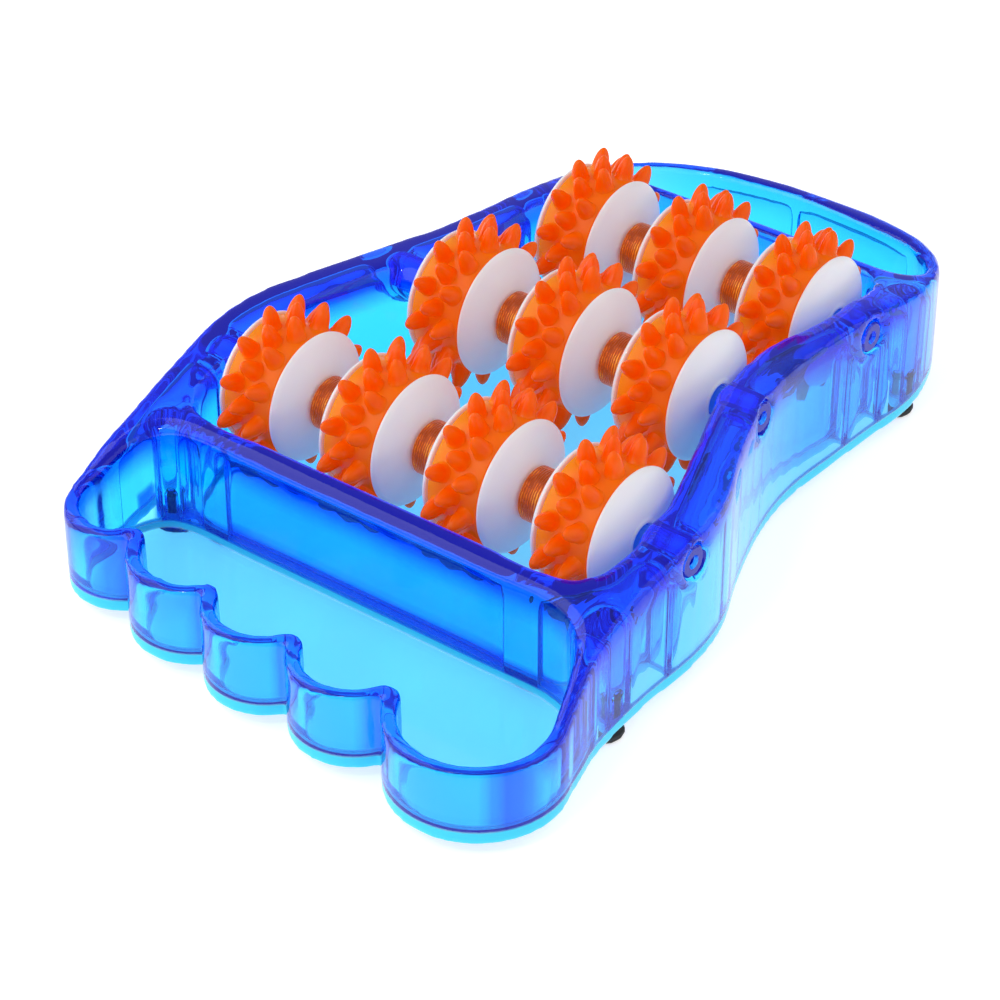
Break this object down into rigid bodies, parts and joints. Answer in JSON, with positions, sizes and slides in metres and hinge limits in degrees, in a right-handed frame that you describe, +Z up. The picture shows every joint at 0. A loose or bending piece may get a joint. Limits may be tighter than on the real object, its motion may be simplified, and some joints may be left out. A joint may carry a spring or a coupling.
{
  "type": "foot massage roller",
  "caption": "Foot massage roller: a clear blue sandal-shaped tray with toe scallops, carrying spiked orange massage wheels with white domed sides on three cross rods",
  "frame": {"origin": "middle of the tray in plan, on the table under the rubber feet", "axes": "+Z up, +Y from the toes to the heel, +X along the rods toward the big toe"},
  "size_m": [0.1792, 0.2806, 0.0689],
  "materials": {
    "clear_blue": "clear tinted injection-moulded plastic, glossy, deep blue where thick and cyan where thin",
    "rod_blue": "clear blue moulded rod, glossy",
    "white_plastic": "satin white moulded plastic",
    "orange_rubber": "soft translucent orange rubber, satin",
    "amber_plastic": "clear amber plastic with fine turned rings, glossy",
    "black_rubber": "matt black rubber"
  },
  "bodies": {
    "tray": {"foot_tray": "clear_blue", "axle_front": "rod_blue", "axle_middle": "rod_blue", "axle_back": "rod_blue", "foot_front_left": "black_rubber", "foot_front_right": "black_rubber", "foot_back_right": "black_rubber", "foot_back_left": "black_rubber"},
    "wheel_f1": {"wheel_f1_disc_left": "white_plastic", "wheel_f1_disc_right": "white_plastic", "wheel_f1_spikes": "orange_rubber"},
    "wheel_f2": {"wheel_f2_disc_left": "white_plastic", "wheel_f2_disc_right": "white_plastic", "wheel_f2_spikes": "orange_rubber"},
    "wheel_f3": {"wheel_f3_disc_left": "white_plastic", "wheel_f3_disc_right": "white_plastic", "wheel_f3_spikes": "orange_rubber"},
    "wheel_f4": {"wheel_f4_disc_left": "white_plastic", "wheel_f4_disc_right": "white_plastic", "wheel_f4_spikes": "orange_rubber"},
    "spacer_f1": {"spacer_f1": "amber_plastic"},
    "spacer_f2": {"spacer_f2": "amber_plastic"},
    "spacer_f3": {"spacer_f3": "amber_plastic"},
    "wheel_m1": {"wheel_m1_disc_left": "white_plastic", "wheel_m1_disc_right": "white_plastic", "wheel_m1_spikes": "orange_rubber"},
    "wheel_m2": {"wheel_m2_disc_left": "white_plastic", "wheel_m2_disc_right": "white_plastic", "wheel_m2_spikes": "orange_rubber"},
    "wheel_m3": {"wheel_m3_disc_left": "white_plastic", "wheel_m3_disc_right": "white_plastic", "wheel_m3_spikes": "orange_rubber"},
    "spacer_m1": {"spacer_m1": "amber_plastic"},
    "spacer_m2": {"spacer_m2": "amber_plastic"},
    "wheel_b1": {"wheel_b1_disc_left": "white_plastic", "wheel_b1_disc_right": "white_plastic", "wheel_b1_spikes": "orange_rubber"},
    "wheel_b2": {"wheel_b2_disc_left": "white_plastic", "wheel_b2_disc_right": "white_plastic", "wheel_b2_spikes": "orange_rubber"},
    "wheel_b3": {"wheel_b3_disc_left": "white_plastic", "wheel_b3_disc_right": "white_plastic", "wheel_b3_spikes": "orange_rubber"},
    "spacer_b1": {"spacer_b1": "amber_plastic"},
    "spacer_b2": {"spacer_b2": "amber_plastic"}
  },
  "joints": [
    {"name": "wheel_f1_spin", "type": "hinge", "parent": "tray", "child": "wheel_f1", "pos_m": [-0.05689, -0.04485, 0.038], "axis": [1, 0, 0], "continuous": true},
    {"name": "wheel_f2_spin", "type": "hinge", "parent": "tray", "child": "wheel_f2", "pos_m": [-0.02089, -0.04485, 0.038], "axis": [1, 0, 0], "continuous": true},
    {"name": "wheel_f3_spin", "type": "hinge", "parent": "tray", "child": "wheel_f3", "pos_m": [0.01511, -0.04485, 0.038], "axis": [1, 0, 0], "continuous": true},
    {"name": "wheel_f4_spin", "type": "hinge", "parent": "tray", "child": "wheel_f4", "pos_m": [0.05111, -0.04485, 0.038], "axis": [1, 0, 0], "continuous": true},
    {"name": "spacer_f1_spin", "type": "hinge", "parent": "tray", "child": "spacer_f1", "pos_m": [-0.03889, -0.04485, 0.038], "axis": [1, 0, 0], "continuous": true},
    {"name": "spacer_f2_spin", "type": "hinge", "parent": "tray", "child": "spacer_f2", "pos_m": [-0.00289, -0.04485, 0.038], "axis": [1, 0, 0], "continuous": true},
    {"name": "spacer_f3_spin", "type": "hinge", "parent": "tray", "child": "spacer_f3", "pos_m": [0.03311, -0.04485, 0.038], "axis": [1, 0, 0], "continuous": true},
    {"name": "wheel_m1_spin", "type": "hinge", "parent": "tray", "child": "wheel_m1", "pos_m": [-0.03889, 0.01495, 0.0436], "axis": [1, 0, 0], "continuous": true},
    {"name": "wheel_m2_spin", "type": "hinge", "parent": "tray", "child": "wheel_m2", "pos_m": [-0.00289, 0.01495, 0.0436], "axis": [1, 0, 0], "continuous": true},
    {"name": "wheel_m3_spin", "type": "hinge", "parent": "tray", "child": "wheel_m3", "pos_m": [0.03311, 0.01495, 0.0436], "axis": [1, 0, 0], "continuous": true},
    {"name": "spacer_m1_spin", "type": "hinge", "parent": "tray", "child": "spacer_m1", "pos_m": [-0.02089, 0.01495, 0.0436], "axis": [1, 0, 0], "continuous": true},
    {"name": "spacer_m2_spin", "type": "hinge", "parent": "tray", "child": "spacer_m2", "pos_m": [0.01511, 0.01495, 0.0436], "axis": [1, 0, 0], "continuous": true},
    {"name": "wheel_b1_spin", "type": "hinge", "parent": "tray", "child": "wheel_b1", "pos_m": [-0.03889, 0.07455, 0.0393], "axis": [1, 0, 0], "continuous": true},
    {"name": "wheel_b2_spin", "type": "hinge", "parent": "tray", "child": "wheel_b2", "pos_m": [-0.00289, 0.07455, 0.0393], "axis": [1, 0, 0], "continuous": true},
    {"name": "wheel_b3_spin", "type": "hinge", "parent": "tray", "child": "wheel_b3", "pos_m": [0.03311, 0.07455, 0.0393], "axis": [1, 0, 0], "continuous": true},
    {"name": "spacer_b1_spin", "type": "hinge", "parent": "tray", "child": "spacer_b1", "pos_m": [-0.02089, 0.07455, 0.0393], "axis": [1, 0, 0], "continuous": true},
    {"name": "spacer_b2_spin", "type": "hinge", "parent": "tray", "child": "spacer_b2", "pos_m": [0.01511, 0.07455, 0.0393], "axis": [1, 0, 0], "continuous": true}
  ]
}
